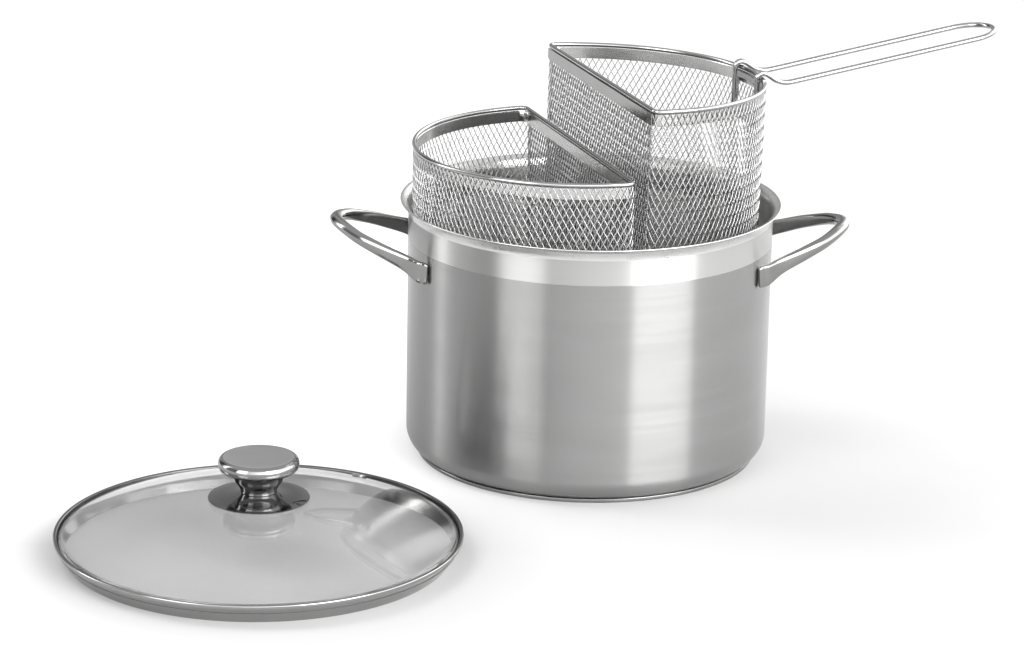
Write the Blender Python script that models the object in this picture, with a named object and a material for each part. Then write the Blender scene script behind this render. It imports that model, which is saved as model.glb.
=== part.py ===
"""Stovetop deep fryer set: stainless pot with two welded loop handles and a
sandwich base, a domed glass lid lying on the worktop beside it, and two
half-round wire baskets that lift out, one of them with a hook-on wire handle.

Row frame: origin on the worktop under the middle of the pot, +Z up, the two
side handles on the X axis (+X is the side of the basket that has the handle).
Every named object is one closed body.
"""
import math

import bmesh
import bpy
from mathutils import Vector

for ob in list(bpy.data.objects):
    bpy.data.objects.remove(ob, do_unlink=True)

# ------------------------------------------------------------------ dimensions
# millimetres; the mesh is written in metres
MM = 0.001
GAP = 0.3                     # clearance between neighbouring pieces

# pot
POT_R = 120.0                 # outside radius of the wall
POT_T = 0.7                   # sheet thickness
POT_Z0 = 2.0                  # underside of the pot's own bottom
POT_CORNER = 13.5             # outside radius of the bottom corner
LIP_R = 125.2                 # outside radius of the flared lip
LIP_Z = 171.9                 # top of the lip
BASE_R = 112.8                # encapsulated base
BASE_H = 2.6
SHEET = 0.6                   # base cap sheet
POT_SEG = 48

# side handles, centreline of one half (x, y, z), section (width, height)
HANDLE = (
    (167.3, 0.0, 157.4, 8.4, 7.6, 2.0),
    (166.2, 6.5, 157.0, 8.4, 7.6, 2.0),
    (163.0, 13.5, 155.9, 8.2, 7.8, 2.0),
    (158.4, 20.6, 154.2, 7.8, 8.0, 2.1),
    (151.5, 28.0, 151.3, 7.0, 8.3, 2.2),
    (142.0, 34.8, 147.8, 6.0, 8.8, 2.6),
    (132.5, 39.8, 144.1, 5.0, 9.4, 3.0),
    (125.0, 43.6, 141.3, 4.4, 10.2, 3.4),
    (120.0, 46.6, 139.2, 3.9, 11.2, 3.8),
    (116.5, 49.4, 137.4, 3.5, 12.4, 4.2),
    (113.5, 51.7, 136.1, 3.2, 13.6, 4.6),
    (111.1, 52.9, 135.4, 3.0, 14.2, 5.0),
    (109.0, 54.5, 135.2, 3.0, 14.3, 5.0),
)
HANDLE_TURN = math.radians(1.0)   # both handles stand turned a little round the pot
HANDLE_SIDES = 10

# lid, lying flat on the worktop
LID_X, LID_Y = -206.6, -206.1
LID_SEG = 48
GLASS_R = 123.4
GLASS_T = 4.0
GLASS_EDGE_Z = 11.2           # top face of the glass at its edge
GLASS_TOP_Z = 36.0            # top of the dome
GLASS_HOLE = 4.0              # radius of the centre hole
KNOB_BORE = 3.2
SCREW_R = 2.6
VENT_R = 109.0                # distance of the steam vent from the lid's centre
VENT_AZ = 57.5                # degrees
VENT_HOLE = 3.4

# baskets: a circular arc closed by a flat wall, plan outline of one basket
B_R = 107.0                   # radius of the curved wall, to the outside of the bead
B_E = 3.5                     # flat wall lies this far past the arc's centre
B_RC = 6.0                    # corner radius
B_H = 148.0                   # height
B_ARC = 30                    # facets along the arc
B_CORNER = 3                  # facets round a corner
B_AZ = 18.3                   # the left basket's arc faces the other way, degrees
LEFT_OFF = 11.6               # arc centre to pot axis
RIGHT_OFF = 6.6
RIGHT_AZ = 17.3               # the right basket sits turned and leaning a little
RIGHT_UP = (0.0216, 0.0204, 1.0)
LEFT_RIM_Z = 211.0            # top of the bead at rest
RIGHT_RIM_Z = 255.1
BEAD_R = 1.5
BAND_H = 7.6                  # inner strip below the bead
RING_R = 1.2                  # bottom wire
# insets from the outline
IN_MESH = (0.9, 1.35)
IN_BAND = (1.9, 2.5)
IN_STRIP = (0.0, 0.6)

# basket handle, in the vertical plane through the basket's middle
WIRE_R = 1.75
ARM = 19.5                    # half the distance between the two arms
LEG_R = 102.0                 # inner legs, radius from the arc's centre
LEG_DOWN = 33.0
TIP = 275.5                   # far end of the loop from the arc's centre


# ------------------------------------------------------------------- materials
def material(name, colour, metallic, rough, transmission=0.0, ior=1.45):
    mat = bpy.data.materials.new(name)
    mat.use_nodes = True
    node = mat.node_tree.nodes["Principled BSDF"]
    node.inputs["Base Color"].default_value = (*colour, 1.0)
    node.inputs["Metallic"].default_value = metallic
    node.inputs["Roughness"].default_value = rough
    node.inputs["IOR"].default_value = ior
    node.inputs["Transmission Weight"].default_value = transmission
    return mat


M = {
    "pot_steel": material("pot_steel", (0.62, 0.62, 0.61), 1.0, 0.28),
    "base_steel": material("base_steel", (0.60, 0.60, 0.60), 1.0, 0.22),
    "aluminium_core": material("aluminium_core", (0.75, 0.75, 0.76), 1.0, 0.45),
    "handle_left_steel": material("handle_left_steel", (0.66, 0.66, 0.66), 1.0, 0.12),
    "handle_right_steel": material("handle_right_steel", (0.66, 0.66, 0.66), 1.0, 0.12),
    "lid_glass": material("lid_glass", (0.93, 0.95, 0.95), 0.0, 0.02, 0.95, 1.50),
    "lid_rim_steel": material("lid_rim_steel", (0.70, 0.70, 0.70), 1.0, 0.12),
    "vent_steel": material("vent_steel", (0.45, 0.45, 0.45), 1.0, 0.25),
    "knob_steel": material("knob_steel", (0.66, 0.66, 0.67), 1.0, 0.18),
    "knob_base_steel": material("knob_base_steel", (0.64, 0.64, 0.65), 1.0, 0.15),
    "silicone_upper": material("silicone_upper", (0.82, 0.83, 0.83), 0.0, 0.55),
    "silicone_lower": material("silicone_lower", (0.80, 0.81, 0.81), 0.0, 0.55),
    "washer_steel": material("washer_steel", (0.62, 0.62, 0.62), 1.0, 0.25),
    "screw_steel": material("screw_steel", (0.58, 0.58, 0.59), 1.0, 0.25),
    "bead_steel": material("bead_steel", (0.68, 0.68, 0.68), 1.0, 0.10),
    "band_steel": material("band_steel", (0.64, 0.64, 0.64), 1.0, 0.12),
    "strip_steel": material("strip_steel", (0.63, 0.63, 0.63), 1.0, 0.14),
    "wire_mesh_wall": material("wire_mesh_wall", (0.56, 0.56, 0.56), 1.0, 0.30),
    "wire_mesh_flat": material("wire_mesh_flat", (0.55, 0.55, 0.55), 1.0, 0.30),
    "wire_mesh_floor": material("wire_mesh_floor", (0.55, 0.55, 0.55), 1.0, 0.32),
    "ring_steel": material("ring_steel", (0.60, 0.60, 0.60), 1.0, 0.20),
    "handle_wire_steel": material("handle_wire_steel", (0.68, 0.68, 0.68), 1.0, 0.12),
    "crosspiece_steel": material("crosspiece_steel", (0.65, 0.65, 0.65), 1.0, 0.14),
}


# ------------------------------------------------------------------ mesh tools
def joint_empty(name, at):
    """An empty on the line that a moving body slides along."""
    ob = bpy.data.objects.new(name, None)
    ob.empty_display_size = 0.02
    ob.location = Vector(at) * MM
    bpy.context.scene.collection.objects.link(ob)
    return ob


def place(ob, mat, parent, smooth_angle):
    """Put an object made about its parent's origin into the scene."""
    bpy.context.scene.collection.objects.link(ob)
    ob.parent = parent
    ob.data.materials.append(M[mat])
    if smooth_angle is not None and ob.type == "MESH":
        ob.data.shade_smooth()
        ob.data.set_sharp_from_angle(angle=math.radians(smooth_angle))
    return ob


LEANS = {}                    # parent's name: (point, rotation) of a basket that leans


def leaned(parent, p):
    """A point of a piece after the lean of the basket it belongs to."""
    if parent is None or parent.name not in LEANS:
        return Vector(p)
    at, turn = LEANS[parent.name]
    return at + turn @ (Vector(p) - at)


def finish(name, bm, mat, parent, smooth_angle):
    """Turn a bmesh in millimetres, in the row frame, into an object in metres."""
    org = parent.location if parent else Vector((0.0, 0.0, 0.0))
    bmesh.ops.recalc_face_normals(bm, faces=bm.faces[:])
    if bm.calc_volume(signed=True) < 0.0:
        bmesh.ops.reverse_faces(bm, faces=bm.faces[:])
    for v in bm.verts:
        v.co = leaned(parent, v.co) * MM - org
    mesh = bpy.data.meshes.new(name)
    bm.to_mesh(mesh)
    bm.free()
    return place(bpy.data.objects.new(name, mesh), mat, parent, smooth_angle)


def turned(name, profile, seg, mat, centre=(0.0, 0.0), parent=None, angle=35.0,
           axis_to=None):
    """Spin an outline of (radius, height) points about a vertical axis. Points
    at radius 0 become poles. axis_to tilts the piece: (point, direction)."""
    bm = bmesh.new()
    vs = [bm.verts.new((r, 0.0, z)) for r, z in profile]
    n = len(vs)
    es = [bm.edges.new((vs[i], vs[(i + 1) % n])) for i in range(n)
          if profile[i][0] > 0.0 or profile[(i + 1) % n][0] > 0.0]
    bmesh.ops.spin(bm, geom=vs + es, cent=(0.0, 0.0, 0.0), axis=(0.0, 0.0, 1.0),
                   angle=2.0 * math.pi, steps=seg, use_merge=False)
    bmesh.ops.remove_doubles(bm, verts=bm.verts[:], dist=0.002)
    if axis_to is None:
        bmesh.ops.translate(bm, verts=bm.verts[:], vec=(centre[0], centre[1], 0.0))
    else:
        point, direction = axis_to
        turn = Vector((0.0, 0.0, 1.0)).rotation_difference(Vector(direction))
        bmesh.ops.rotate(bm, verts=bm.verts[:], cent=(0.0, 0.0, 0.0), matrix=turn.to_matrix())
        bmesh.ops.translate(bm, verts=bm.verts[:], vec=point)
    return finish(name, bm, mat, parent, angle)


def raised(name, loops, z0, z1, mat, parent, angle=35.0):
    """Extrude flat faces, given as lists of plan points, from z0 up to z1."""
    bm = bmesh.new()
    seen = {}

    def vert(p):
        key = (round(p[0], 5), round(p[1], 5))
        if key not in seen:
            seen[key] = bm.verts.new((p[0], p[1], z0))
        return seen[key]

    faces = [bm.faces.new([vert(p) for p in loop]) for loop in loops]
    new = bmesh.ops.extrude_face_region(bm, geom=faces, use_keep_orig=True)["geom"]
    bmesh.ops.translate(bm, verts=[g for g in new if isinstance(g, bmesh.types.BMVert)],
                        vec=(0.0, 0.0, z1 - z0))
    return finish(name, bm, mat, parent, angle)


def wall(name, outer, inner, z0, z1, mat, parent, closed):
    """A thin wall between two matching plan lines."""
    n = len(outer)
    last = n if closed else n - 1
    loops = [[outer[i], outer[(i + 1) % n], inner[(i + 1) % n], inner[i]] for i in range(last)]
    return raised(name, loops, z0, z1, mat, parent)


def wire(name, path, radius, resolution, mat, parent):
    """A bent round wire whose ends meet, as a bevelled curve."""
    org = parent.location
    curve = bpy.data.curves.new(name, "CURVE")
    curve.dimensions = "3D"
    curve.bevel_depth = radius * MM
    curve.bevel_resolution = resolution
    curve.twist_mode = "MINIMUM"
    line = curve.splines.new("POLY")
    line.points.add(len(path) - 1)
    for point, p in zip(line.points, path):
        point.co = (*(leaned(parent, p) * MM - org), 1.0)
    line.use_cyclic_u = True
    line.use_smooth = True
    return place(bpy.data.objects.new(name, curve), mat, parent, None)


def strap(name, path, sections, mat, sides, angle=45.0):
    """Bridge a row of oval to squared sections along a path: a rod hammered
    flat towards its ends. sections: (width, height, power)."""
    bm = bmesh.new()
    pts = [Vector(p) for p in path]
    n = len(pts)
    edges = []
    for i in range(n):
        tan = (pts[min(i + 1, n - 1)] - pts[max(i - 1, 0)]).normalized()
        side = tan.cross(Vector((0.0, 0.0, 1.0))).normalized()
        high = side.cross(tan).normalized()
        w, h, p = sections[i]
        ring = []
        for k in range(sides):
            a = 2.0 * math.pi * (k + 0.5) / sides
            c, s = math.cos(a), math.sin(a)
            u = math.copysign(abs(c) ** (2.0 / p), c) * w / 2.0
            v = math.copysign(abs(s) ** (2.0 / p), s) * h / 2.0
            ring.append(bm.verts.new(pts[i] + side * u + high * v))
        edges.append([bm.edges.new((ring[k], ring[(k + 1) % sides])) for k in range(sides)])
        if i in (0, n - 1):
            bm.faces.new(ring)
        if i:
            bmesh.ops.bridge_loops(bm, edges=edges[i - 1] + edges[i])
    return finish(name, bm, mat, None, angle)


# ------------------------------------------------------------------------- pot
def pot_profile():
    ro, t = POT_R, POT_T
    cz = POT_Z0 + POT_CORNER
    cr = ro - POT_CORNER
    outer = [(0.0, POT_Z0), (cr, POT_Z0)]
    for a in (22.5, 45.0, 67.5, 90.0):
        w = math.radians(a)
        outer.append((cr + POT_CORNER * math.sin(w), cz - POT_CORNER * math.cos(w)))
    outer += [(ro, 147.0), (ro, 164.6), (121.3, 168.6), (124.4, 171.2), (LIP_R, 171.4)]
    inner = [(LIP_R - 0.2, LIP_Z), (124.0, LIP_Z), (120.9, 169.7), (ro - t, 165.6), (ro - t, 147.0)]
    ri = POT_CORNER - t
    for a in (90.0, 67.5, 45.0, 22.5):
        w = math.radians(a)
        inner.append((cr + ri * math.sin(w), cz - ri * math.cos(w)))
    inner += [(cr, POT_Z0 + t), (0.0, POT_Z0 + t)]
    return outer + inner


turned("pot_body", pot_profile(), POT_SEG, "pot_steel", angle=40.0)

turned("base_core", [
    (0.0, SHEET + GAP), (BASE_R - SHEET - GAP, SHEET + GAP),
    (BASE_R - SHEET - GAP, POT_Z0 - GAP), (0.0, POT_Z0 - GAP),
], POT_SEG, "aluminium_core")

turned("base_cap", [
    (0.0, 0.0), (BASE_R - 0.8, 0.0), (BASE_R, 0.8), (BASE_R, BASE_H),
    (BASE_R - SHEET, BASE_H), (BASE_R - SHEET, SHEET), (0.0, SHEET),
], POT_SEG, "base_steel")


def side_handle(name, sign, mat):
    half = list(HANDLE)
    full = [(x, -y, z, w, h, p) for x, y, z, w, h, p in reversed(half[1:])] + half
    c, s = math.cos(HANDLE_TURN), math.sin(HANDLE_TURN)
    path = [(c * sign * x - s * y, s * sign * x + c * y, z) for x, y, z, w, h, p in full]
    sect = [(w, h, p) for x, y, z, w, h, p in full]
    return strap(name, path, sect, mat, HANDLE_SIDES)


side_handle("side_handle_left", -1.0, "handle_left_steel")
side_handle("side_handle_right", 1.0, "handle_right_steel")

# ------------------------------------------------------------------------- lid
LC = (LID_X, LID_Y)
LID = joint_empty("lid_lift", (LID_X, LID_Y, 0.0))
SAG = GLASS_TOP_Z - GLASS_EDGE_Z
DOME = (GLASS_R ** 2 + SAG ** 2) / (2.0 * SAG)


def dome(r):
    """Height of the top face of the glass at radius r."""
    return GLASS_TOP_Z - (DOME - math.sqrt(DOME ** 2 - r ** 2))


top = [(r, dome(r)) for r in (GLASS_HOLE, 20.0, 45.0, 70.0, 92.0, 110.0, 121.8)]
edge = [(GLASS_R, GLASS_EDGE_Z - 0.9), (GLASS_R, GLASS_EDGE_Z - GLASS_T)]
under = [(r, dome(r) - GLASS_T) for r in (119.5, 100.0, 75.0, 45.0, 20.0, GLASS_HOLE)]
glass = turned("lid_glass", top + edge + under, LID_SEG, "lid_glass", LC, LID, angle=50.0)

# steam vent hole through the glass
vaz = math.radians(VENT_AZ)
VX, VY = LID_X + VENT_R * math.cos(vaz), LID_Y + VENT_R * math.sin(vaz)
slope = VENT_R / math.sqrt(DOME ** 2 - VENT_R ** 2)
vn = Vector((slope * math.cos(vaz), slope * math.sin(vaz), 1.0)).normalized()
vp = Vector((VX, VY, dome(VENT_R)))
cutter = turned("vent_cutter", [(0.0, -9.0), (VENT_HOLE, -9.0), (VENT_HOLE, 6.0), (0.0, 6.0)],
               16, "vent_steel", axis_to=(vp, vn))
cutter.hide_render = True
cutter.display_type = "WIRE"
mod = glass.modifiers.new("vent", "BOOLEAN")
mod.operation = "DIFFERENCE"
mod.solver = "EXACT"
mod.object = cutter
bpy.context.view_layer.update()
deps = bpy.context.evaluated_depsgraph_get()
cut = bpy.data.meshes.new_from_object(glass.evaluated_get(deps))
glass.modifiers.clear()
old = glass.data
glass.data = cut
bpy.data.meshes.remove(old)
cut.name = "lid_glass"
cut.materials.clear()
cut.materials.append(M["lid_glass"])
bpy.data.objects.remove(cutter, do_unlink=True)

turned("steam_vent", [
    (1.4, -4.9), (4.6, -4.9), (4.9, -4.6), (4.6, -4.3), (VENT_HOLE - GAP, -4.3),
    (VENT_HOLE - GAP, 0.3), (4.7, 0.3), (5.0, 0.7), (4.6, 1.0), (1.8, 1.0), (1.4, 0.6),
], 16, "vent_steel", axis_to=(vp, vn), parent=LID)

turned("lid_rim", [
    (119.0, 0.0), (124.7, 9.0), (126.1, 10.5), (126.1, 12.3), (125.6, 12.8),
    (124.2, 12.8), (GLASS_R + GAP, 12.2), (GLASS_R + GAP, 6.9), (120.4, 6.9),
    (120.4, 6.1), (121.9, 6.1), (118.2, 0.0),
], LID_SEG, "lid_rim_steel", LC, LID)

turned("knob_gasket_upper", [
    (4.4, dome(4.4) + GAP), (27.2, dome(27.2) + GAP), (27.2, dome(27.2) + GAP + 0.5),
    (4.4, dome(4.4) + GAP + 0.5),
], 32, "silicone_upper", LC, LID)

turned("knob_base", [
    (KNOB_BORE, dome(3.0) + 1.1), (27.6, dome(27.6) + 1.1), (28.0, dome(28.0) + GAP),
    (30.9, dome(31.0) + GAP), (31.3, dome(31.0) + 0.6), (31.0, dome(31.0) + 1.0),
    (26.0, 36.9), (19.0, 38.1), (12.0, 39.0), (KNOB_BORE, 39.0),
], 32, "knob_base_steel", LC, LID)

turned("knob_cap", [
    (KNOB_BORE, 39.3), (11.2, 39.3), (11.5, 40.6), (12.9, 43.2), (14.6, 45.8),
    (15.7, 48.6), (16.9, 50.8), (19.0, 52.0), (23.2, 53.3), (24.7, 54.9), (25.0, 57.4),
    (24.4, 59.8), (22.9, 61.0), (21.2, 61.3), (0.0, 61.3), (0.0, 55.0), (KNOB_BORE, 55.0),
], 32, "knob_steel", LC, LID)

zu = dome(0.0) - GLASS_T
turned("knob_gasket_lower", [
    (SCREW_R + 0.6, zu - 1.9), (9.5, zu - 1.9), (9.5, zu - 0.5), (SCREW_R + 0.6, zu - 0.5),
], 24, "silicone_lower", LC, LID)
turned("knob_washer", [
    (SCREW_R + 0.4, zu - 3.2), (7.6, zu - 3.2), (7.6, zu - 2.2), (SCREW_R + 0.4, zu - 2.2),
], 24, "washer_steel", LC, LID)
turned("knob_screw", [
    (0.0, zu - 6.6), (3.6, zu - 6.6), (4.8, zu - 5.4), (4.8, zu - 3.5),
    (SCREW_R, zu - 3.5), (SCREW_R, 53.0), (0.0, 53.0),
], 20, "screw_steel", LC, LID)


# --------------------------------------------------------------------- baskets
def outline(inset, ends=False):
    """Plan outline of a basket in (along the flat wall, outwards), starting at
    one end of the flat wall and going round the arc."""
    rc = B_RC - inset
    ri = B_R - inset
    wc = -B_E + B_RC
    sc = math.sqrt((B_R - B_RC) ** 2 - wc ** 2)
    a0 = math.atan2(wc, sc)
    pts = []
    for k in range(B_CORNER + 1):
        a = -math.pi / 2 + (a0 + math.pi / 2) * k / B_CORNER
        pts.append((sc + rc * math.cos(a), wc + rc * math.sin(a)))
    for k in range(1, B_ARC):
        a = a0 + (math.pi - 2 * a0) * k / B_ARC
        pts.append((ri * math.cos(a), ri * math.sin(a)))
    for k in range(B_CORNER + 1):
        a = math.pi - a0 + (a0 + math.pi / 2) * k / B_CORNER
        pts.append((-sc + rc * math.cos(a), wc + rc * math.sin(a)))
    return pts, sc


class Place:
    """Plan placing of one basket."""

    def __init__(self, off, az):
        a = math.radians(az)
        self.n = (math.cos(a), math.sin(a))
        self.t = (-math.sin(a), math.cos(a))
        self.c = (off * self.n[0], off * self.n[1])

    def __call__(self, s, w):
        return (self.c[0] + s * self.t[0] + w * self.n[0],
                self.c[1] + s * self.t[1] + w * self.n[1])

    def line(self, pts):
        return [self(s, w) for s, w in pts]


def lean(parent, at, rim, up):
    """Let the pieces under a parent lean about the middle of the basket's rim."""
    turn = Vector((0.0, 0.0, 1.0)).rotation_difference(Vector(up).normalized())
    LEANS[parent.name] = (Vector((at.c[0], at.c[1], rim)), turn)


def basket(side, off, az, rim, up=None):
    at = Place(off, az)
    org = joint_empty("basket_" + side + "_lift", (at.c[0], at.c[1], rim))
    if up:
        lean(org, at, rim, up)
    bottom = rim - B_H
    name = "basket_" + side + "_"

    bead, _ = outline(BEAD_R)
    path = [(*p, rim - BEAD_R) for p in at.line(bead)]
    wire(name + "rim_bead", path, BEAD_R, 2, "bead_steel", org)

    top_z = rim - 2 * BEAD_R - GAP
    o, _ = outline(IN_BAND[0])
    i, _ = outline(IN_BAND[1])
    wall(name + "rim_band", at.line(o), at.line(i), top_z - BAND_H, top_z,
         "band_steel", org, True)

    ring_top = bottom + 2 * RING_R
    o, sc = outline(IN_MESH[0])
    i, _ = outline(IN_MESH[1])
    wall(name + "wall_mesh", at.line(o), at.line(i), ring_top + GAP, top_z,
         "wire_mesh_wall", org, False)

    w0, w1 = -B_E + IN_MESH[0], -B_E + IN_MESH[1]
    raised(name + "flat_mesh", [at.line([(-sc + GAP, w0), (sc - GAP, w0),
                                         (sc - GAP, w1), (-sc + GAP, w1)])],
           ring_top + GAP, top_z, "wire_mesh_flat", org)

    w0, w1 = -B_E + IN_STRIP[0], -B_E + IN_STRIP[1]
    raised(name + "flat_strip", [at.line([(-sc, w0), (sc, w0), (sc, w1), (-sc, w1)])],
           top_z - BAND_H, top_z, "strip_steel", org)

    ring, _ = outline(0.9 + RING_R)
    path = [(*p, bottom + RING_R) for p in at.line(ring)]
    wire(name + "bottom_ring", path, RING_R, 1, "ring_steel", org)

    floor, _ = outline(0.9 + 2 * RING_R + GAP)
    raised(name + "floor_mesh", [at.line(floor)], bottom + 1.0, bottom + 1.5,
           "wire_mesh_floor", org, angle=30.0)
    return at, org


basket("left", LEFT_OFF, 180.0 + B_AZ, LEFT_RIM_Z)
right, right_lift = basket("right", RIGHT_OFF, RIGHT_AZ, RIGHT_RIM_Z, RIGHT_UP)

# --------------------------------------------------------------- basket handle
HOOK = joint_empty("basket_handle_lift", (*right(0.0, B_R), RIGHT_RIM_Z))
lean(HOOK, right, RIGHT_RIM_Z, RIGHT_UP)


def handle_wire():
    rim = RIGHT_RIM_Z
    leg = math.sqrt(LEG_R ** 2 - ARM ** 2)
    bead = math.sqrt((B_R - BEAD_R) ** 2 - ARM ** 2)
    low = rim - LEG_DOWN

    def z_arm(w):
        return rim - 7.9 + 0.193 * (w - 104.5)

    arm = [(leg, low + 5.0), (leg, rim - 14.0), (leg, rim - 3.0)]
    for a in (150.0, 115.0, 85.0):
        q = math.radians(a)
        arm.append((bead + 3.8 * math.cos(q), rim - BEAD_R + 3.8 * math.sin(q)))
    arm += [(bead + 4.3, rim + 0.9), (bead + 8.5, rim - 1.9), (bead + 12.5, rim - 3.6),
            (bead + 16.5, rim - 4.3), (bead + 21.0, z_arm(bead + 21.0)), (160.0, z_arm(160.0)),
            (210.0, z_arm(210.0)), (TIP - ARM, z_arm(TIP - ARM))]
    path = []
    # bottom cross wire, from the middle out to the +arm leg
    for s in (0.0, 8.0):
        w = math.sqrt(LEG_R ** 2 - s ** 2)
        path.append((s, w, low))
    path.append((14.5, math.sqrt(LEG_R ** 2 - 14.5 ** 2), low))
    path.append((ARM - 1.4, math.sqrt(LEG_R ** 2 - 18.1 ** 2), low + 1.5))
    path += [(ARM, w, z) for w, z in arm]
    for a in (22.5, 45.0, 67.5, 90.0, 112.5, 135.0, 157.5):
        q = math.radians(a)
        w = TIP - ARM + ARM * math.sin(q)
        path.append((ARM * math.cos(q), w, z_arm(w)))
    path += [(-ARM, w, z) for w, z in reversed(arm)]
    path.append((-ARM + 1.4, math.sqrt(LEG_R ** 2 - 18.1 ** 2), low + 1.5))
    path.append((-14.5, math.sqrt(LEG_R ** 2 - 14.5 ** 2), low))
    path.append((-8.0, math.sqrt(LEG_R ** 2 - 64.0), low))
    pts = [(*right(s, w), z) for s, w, z in path]
    wire("basket_handle_wire", pts, WIRE_R, 2, "handle_wire_steel", HOOK)


handle_wire()


def crosspiece():
    """A strip between the two hooks, with a short leg down beside each of them."""
    rim = RIGHT_RIM_Z
    reach = ARM - WIRE_R - GAP
    cuts = (-reach, 2.6 - reach, -9.5, -3.2, 3.2, 9.5, reach - 2.6, reach)
    bm = bmesh.new()
    seen = {}

    def vert(s, z):
        if (s, z) not in seen:
            seen[(s, z)] = bm.verts.new((s, z, LEG_R - 0.8))
        return seen[(s, z)]

    def sheet(a, b, z0, z1):
        return bm.faces.new([vert(a, z0), vert(b, z0), vert(b, z1), vert(a, z1)])

    faces = [sheet(a, b, rim - 7.0, rim - 2.0) for a, b in zip(cuts, cuts[1:])]
    faces += [sheet(a, b, rim - 22.0, rim - 7.0) for a, b in (cuts[:2], cuts[-2:])]
    new = bmesh.ops.extrude_face_region(bm, geom=faces, use_keep_orig=True)["geom"]
    bmesh.ops.translate(bm, verts=[g for g in new if isinstance(g, bmesh.types.BMVert)],
                        vec=(0.0, 0.0, 1.6))
    for v in bm.verts:
        s, z, r = v.co
        v.co = (*right(s, math.sqrt(r ** 2 - s ** 2)), z)
    finish("basket_handle_crosspiece", bm, "crosspiece_steel", HOOK, 35.0)


crosspiece()
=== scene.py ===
import math

import bmesh
import bpy
from mathutils import Matrix, Vector


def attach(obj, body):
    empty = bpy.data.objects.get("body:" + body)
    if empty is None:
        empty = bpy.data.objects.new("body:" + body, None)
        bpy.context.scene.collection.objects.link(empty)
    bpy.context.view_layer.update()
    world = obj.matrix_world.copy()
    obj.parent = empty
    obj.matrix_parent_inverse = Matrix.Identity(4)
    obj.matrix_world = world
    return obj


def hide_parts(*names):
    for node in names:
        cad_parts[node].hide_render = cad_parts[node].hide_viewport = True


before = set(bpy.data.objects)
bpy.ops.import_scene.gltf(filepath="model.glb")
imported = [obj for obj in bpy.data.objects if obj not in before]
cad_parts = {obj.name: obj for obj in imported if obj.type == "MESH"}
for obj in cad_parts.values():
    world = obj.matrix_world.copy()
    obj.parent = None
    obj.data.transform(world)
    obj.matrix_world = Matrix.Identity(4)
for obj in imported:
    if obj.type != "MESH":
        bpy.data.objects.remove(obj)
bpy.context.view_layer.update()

MM = 0.001
SCN = bpy.context.scene

# ---------------------------------------------------------------- dimensions (mm)
POT_R, POT_T, POT_Z0, POT_CORNER = 120.0, 0.7, 2.0, 13.5
LIP_R, LIP_Z = 125.2, 171.9
MIRROR_Z = 147.0
BASE_R, BASE_H, SHEET = 112.8, 2.6, 0.6
HANDLE = (
    (167.3, 0.0, 157.4, 8.4, 7.6, 2.0),
    (166.2, 6.5, 157.0, 8.4, 7.6, 2.0),
    (163.0, 13.5, 155.9, 8.2, 7.8, 2.0),
    (158.4, 20.6, 154.2, 7.8, 8.0, 2.1),
    (151.5, 28.0, 151.3, 7.0, 8.3, 2.2),
    (142.0, 34.8, 147.8, 6.0, 8.8, 2.6),
    (132.5, 39.8, 144.1, 5.0, 9.4, 3.0),
    (125.0, 43.6, 141.3, 4.4, 10.2, 3.4),
    (120.0, 46.6, 139.2, 3.9, 11.2, 3.8),
    (116.5, 49.4, 137.4, 3.5, 12.4, 4.2),
    (113.5, 51.7, 136.1, 3.2, 13.6, 4.6),
    (111.1, 52.9, 135.4, 3.0, 14.2, 5.0),
    (109.0, 54.5, 135.2, 3.0, 14.3, 5.0),
)
HANDLE_TURN = math.radians(1.0)
LID_X, LID_Y = -206.6, -206.1
GLASS_R, GLASS_T, GLASS_EDGE_Z, GLASS_TOP_Z, GLASS_HOLE = 123.4, 4.0, 11.2, 36.0, 4.0
VENT_R, VENT_AZ, VENT_HOLE = 109.0, 57.5, 3.4
B_R, B_E, B_RC, B_H = 107.0, 3.5, 6.0, 148.0
LEFT = (11.6, 18.3, 211.0)         # offset from the pot's axis, direction, top of the rim
RIGHT = (6.6, 17.3, 255.1)
RIGHT_UP = (0.0216, 0.0204, 1.0)   # the right basket leans a little
BEAD_R, BAND_H, RING_R = 1.5, 7.6, 1.2
WIRE_R, ARM, LEG_R, LEG_DOWN, TIP = 1.75, 19.5, 102.0, 33.0, 275.5
CELL_W, CELL_H = 4.35, 8.0    # one diamond of the wire mesh
MESH_R = 0.34                 # radius of a mesh wire


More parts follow.
